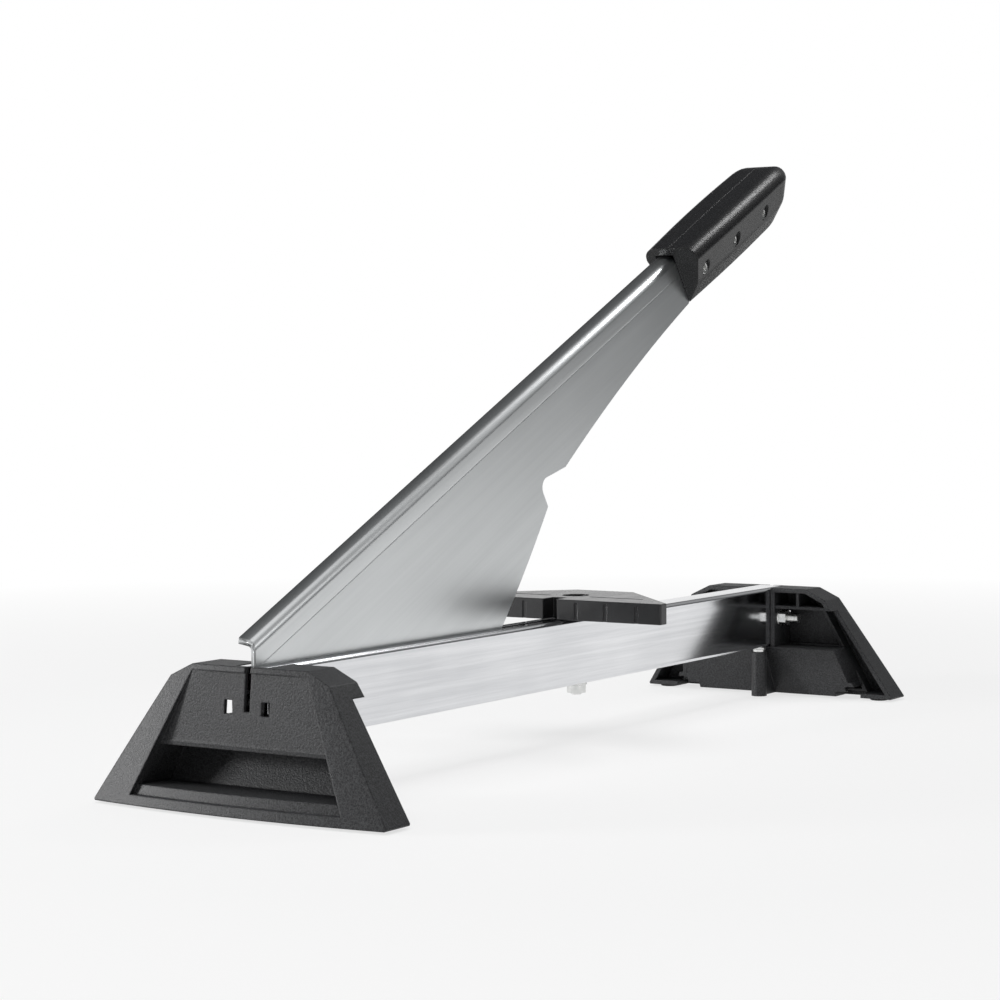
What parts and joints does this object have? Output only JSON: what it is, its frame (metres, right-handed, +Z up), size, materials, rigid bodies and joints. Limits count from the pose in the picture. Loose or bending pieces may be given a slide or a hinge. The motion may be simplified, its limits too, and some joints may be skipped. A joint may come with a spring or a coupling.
{
  "type": "laminate cutter",
  "caption": "Bench guillotine for laminate boards: a notched lever blade drops through a slotted rail on two trapezoid feet, with a swivelling fence and a two-shell grip.",
  "frame": {"origin": "on the floor under the middle of the rail, at the underside of the rubber pads", "axes": "+X along the rail from the hinge end to the far foot, +Y to the left seen from the hinge end, +Z up"},
  "size_m": [0.613, 0.1852, 0.3593],
  "materials": {
    "drawn_aluminium": "drawn, bright",
    "blade_steel": "zinc plated, rolled grain",
    "zinc_steel": "bright zinc",
    "textured_plastic": "fine grain",
    "black_plastic": "smooth matt",
    "grip_plastic": "fine grain, slight sheen",
    "black_rubber": "matt"
  },
  "bodies": {
    "base": {"rail": "drawn_aluminium", "rail_plug": "black_plastic", "near_foot": "textured_plastic", "far_foot": "textured_plastic", "near_pads": "black_rubber", "far_pads": "black_rubber", "pivot_bolt": "zinc_steel", "pivot_nut": "zinc_steel", "pivot_washers": "zinc_steel", "pivot_spacer_left": "black_plastic", "pivot_spacer_right": "black_plastic", "far_bolt": "zinc_steel", "far_nut": "zinc_steel", "far_washers": "zinc_steel", "foot_screws": "zinc_steel", "foot_washers": "zinc_steel", "fence_screw": "zinc_steel", "fence_nut": "zinc_steel", "fence_washers": "zinc_steel", "fence_sleeve": "zinc_steel"},
    "lever": {"blade": "blade_steel", "grip_left": "grip_plastic", "grip_right": "grip_plastic", "grip_screws": "zinc_steel", "grip_nuts": "zinc_steel"},
    "fence": {"fence": "black_plastic"}
  },
  "joints": [
    {"name": "lever_hinge", "type": "hinge", "parent": "base", "child": "lever", "pos_m": [-0.273, 0, 0.0537], "axis": [0, -1, 0], "range_deg": [-14.5, 50]},
    {"name": "fence_swivel", "type": "hinge", "parent": "base", "child": "fence", "pos_m": [0.028, 0, 0.0745], "axis": [0, 0, 1], "range_deg": [-5, 5]}
  ]
}
